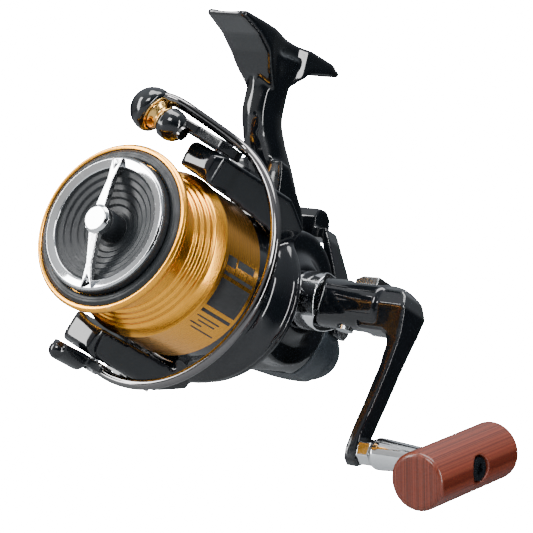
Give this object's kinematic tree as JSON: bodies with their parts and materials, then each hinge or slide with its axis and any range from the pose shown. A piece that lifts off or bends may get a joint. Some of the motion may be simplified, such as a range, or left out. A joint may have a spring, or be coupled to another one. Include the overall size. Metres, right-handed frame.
{
  "type": "spinning reel",
  "caption": "Fixed-spool fishing reel with folding crank, round wooden knob, wire bail, gold spool and rear free-spool tension knob",
  "frame": {"origin": "centre of the flat seat on top of the foot", "axes": "+Z out of the foot's seat, away from the reel; +Y to the rear of the reel along the foot; +X to the handle side"},
  "size_m": [0.1261, 0.1338, 0.1397],
  "materials": {
    "gloss_black": "gloss black lacquered moulding",
    "satin_black": "satin grey-black moulding",
    "gold": "gold anodised aluminium",
    "dark_chrome": "dark chrome plate",
    "chrome": "bright chrome plate",
    "silver": "satin silver",
    "steel": "ground steel",
    "brass": "machined brass",
    "zinc": "die-cast alloy",
    "felt": "greased felt",
    "wood": "lacquered laminated hardwood",
    "nylon": "moulded nylon"
  },
  "bodies": {
    "frame": {"body_frame": "gloss_black", "body_cover": "gloss_black", "rear_housing": "satin_black", "rear_cover": "satin_black", "cover_screws": "steel", "handle_side_cap": "gloss_black", "drive_bearings": "steel", "pinion_bearing": "steel", "clutch_housing": "nylon", "clutch_rollers": "steel", "clutch_retainer": "nylon", "retainer_screws": "steel", "guide_rod": "steel", "rear_shaft_bush": "brass", "tension_washers": "steel", "tension_spring": "steel", "lever_pins": "steel"},
    "free_spool_lever": {"free_spool_lever": "gloss_black"},
    "tension_knob": {"tension_knob": "satin_black"},
    "drive": {"drive_gear": "zinc", "handle_shaft": "steel", "handle_collar": "silver"},
    "crank": {"crank_arm": "gloss_black", "fold_pin": "silver", "knob_post": "chrome", "knob_screw": "steel", "latch_spring": "steel"},
    "fold_latch": {"fold_latch": "silver"},
    "knob": {"knob": "wood", "knob_sleeve": "chrome", "knob_bearings": "steel"},
    "osc_gear": {"osc_gear": "zinc"},
    "main_shaft": {"main_shaft": "steel", "slider": "zinc", "spool_seat": "brass", "shaft_pin": "steel"},
    "spool": {"spool": "gold", "line_clip": "nylon", "spool_front_ring": "satin_black", "drag_washers_metal": "steel", "drag_washers_felt": "felt", "retaining_clip": "steel", "spool_bearing": "steel"},
    "drag_knob": {"drag_knob": "satin_black", "drag_knob_bar": "chrome", "drag_knob_ring": "chrome"},
    "rotor": {"rotor": "gloss_black", "arm_covers": "gloss_black", "pinion": "brass", "clutch_inner": "steel", "rotor_nut": "brass", "bail_spring": "steel", "trip_lever": "nylon", "bail_pivot_screws": "steel"},
    "bail": {"bail_arm": "gloss_black", "bail_wire": "dark_chrome", "bail_cam": "gloss_black", "roller_screw": "dark_chrome"},
    "line_roller": {"line_roller": "gold", "roller_bearing": "steel"}
  },
  "joints": [
    {"name": "handle_turn", "type": "hinge", "parent": "frame", "child": "drive", "pos_m": [0, 0.01979, -0.07775], "axis": [1, 0, 0], "continuous": true},
    {"name": "crank_fold", "type": "hinge", "parent": "drive", "child": "crank", "pos_m": [0.037, 0.01979, -0.07775], "axis": [0, 0.061, 0.9981], "range_deg": [0, 75]},
    {"name": "latch_slide", "type": "slide", "parent": "crank", "child": "fold_latch", "axis": [1, 0, 0], "range_m": [0, 0.002], "stiffness_N_per_m": 300, "deforming": ["latch_spring"]},
    {"name": "knob_spin", "type": "hinge", "parent": "crank", "child": "knob", "pos_m": [0.0875, 0.01856, -0.12246], "axis": [1, 0, 0], "continuous": true},
    {"name": "osc_gear_turn", "type": "hinge", "parent": "frame", "child": "osc_gear", "pos_m": [0, 0.03179, -0.08675], "axis": [1, 0, 0], "continuous": true},
    {"name": "spool_stroke", "type": "slide", "parent": "frame", "child": "main_shaft", "axis": [0, 0.9981, -0.061], "range_m": [-0.004, 0.007]},
    {"name": "spool_slip", "type": "hinge", "parent": "main_shaft", "child": "spool", "pos_m": [0, -0.04897, -0.07996], "axis": [0, 0.9981, -0.061], "continuous": true},
    {"name": "drag_knob_turn", "type": "hinge", "parent": "main_shaft", "child": "drag_knob", "pos_m": [0, -0.05895, -0.07935], "axis": [0, 0.9981, -0.061], "range_deg": [-360, 360]},
    {"name": "rotor_turn", "type": "hinge", "parent": "frame", "child": "rotor", "pos_m": [0, -0.00905, -0.0824], "axis": [0, 0.9981, -0.061], "continuous": true},
    {"name": "bail_swing", "type": "hinge", "parent": "rotor", "child": "bail", "pos_m": [0, -0.034, -0.08088], "axis": [-0.3256, -0.0577, -0.9438], "range_deg": [0, 105]},
    {"name": "line_roller_spin", "type": "hinge", "parent": "bail", "child": "line_roller", "pos_m": [0.00145, -0.04965, -0.04185], "axis": [0.8839, 0.0927, -0.4584], "continuous": true},
    {"name": "tension_knob_turn", "type": "hinge", "parent": "frame", "child": "tension_knob", "pos_m": [0, 0.05883, -0.08655], "axis": [0, 0.9981, -0.061], "range_deg": [-150, 150]},
    {"name": "free_spool_swing", "type": "hinge", "parent": "frame", "child": "free_spool_lever", "pos_m": [0, 0.04715, -0.08083], "axis": [-1, 0, 0], "range_deg": [0, 24]}
  ],
  "couplings": [
    {"joint": "rotor_turn", "follows": "handle_turn", "ratio": -5},
    {"joint": "osc_gear_turn", "follows": "handle_turn", "ratio": -0.66667}
  ]
}
